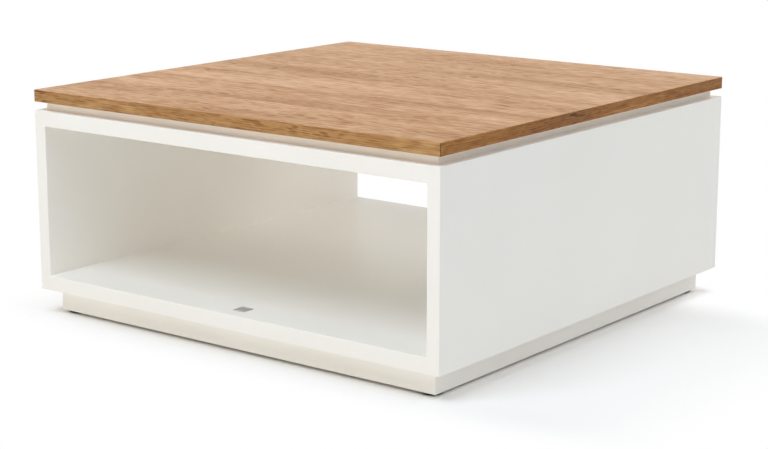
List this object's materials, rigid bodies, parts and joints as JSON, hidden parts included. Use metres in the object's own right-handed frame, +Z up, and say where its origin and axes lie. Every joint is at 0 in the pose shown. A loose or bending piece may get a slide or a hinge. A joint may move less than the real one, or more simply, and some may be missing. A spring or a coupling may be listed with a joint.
{
  "type": "coffee table",
  "caption": "Square low table: floating oak top on a recessed riser, white lacquered carcass with a compartment open front and back, and a recessed plinth on glides.",
  "frame": {"origin": "on the floor, under the middle of the table", "axes": "X from left to right along the front, Y from the front opening to the back opening, Z up"},
  "size_m": [0.9, 0.9, 0.413],
  "materials": {
    "oak_veneer": "oiled oak veneer, matt",
    "oak_lipping": "oiled solid oak, matt",
    "core_board": "raw fibreboard",
    "white_lacquer": "satin white lacquer on fibreboard",
    "beech": "raw beech",
    "zinc_steel": "zinc plated",
    "white_plastic": "moulded, satin",
    "black_plastic": "moulded, matt"
  },
  "bodies": {
    "root": {"top_veneer": "oak_veneer", "under_veneer": "oak_veneer", "top_core": "core_board", "lipping_front": "oak_lipping", "lipping_right": "oak_lipping", "lipping_back": "oak_lipping", "lipping_left": "oak_lipping", "riser_front": "white_lacquer", "riser_back": "white_lacquer", "riser_left": "white_lacquer", "riser_right": "white_lacquer", "riser_middle": "white_lacquer", "carcass_top": "white_lacquer", "carcass_bottom": "white_lacquer", "side_panel_left": "white_lacquer", "side_panel_right": "white_lacquer", "carcass_dowels": "beech", "top_screws": "zinc_steel", "screw_caps": "white_plastic", "plinth_front": "white_lacquer", "plinth_right": "white_lacquer", "plinth_back": "white_lacquer", "plinth_left": "white_lacquer", "plinth_brace": "beech", "corner_blocks": "beech", "plinth_screws": "zinc_steel", "glides": "black_plastic", "glide_nails": "zinc_steel"}
  },
  "joints": []
}
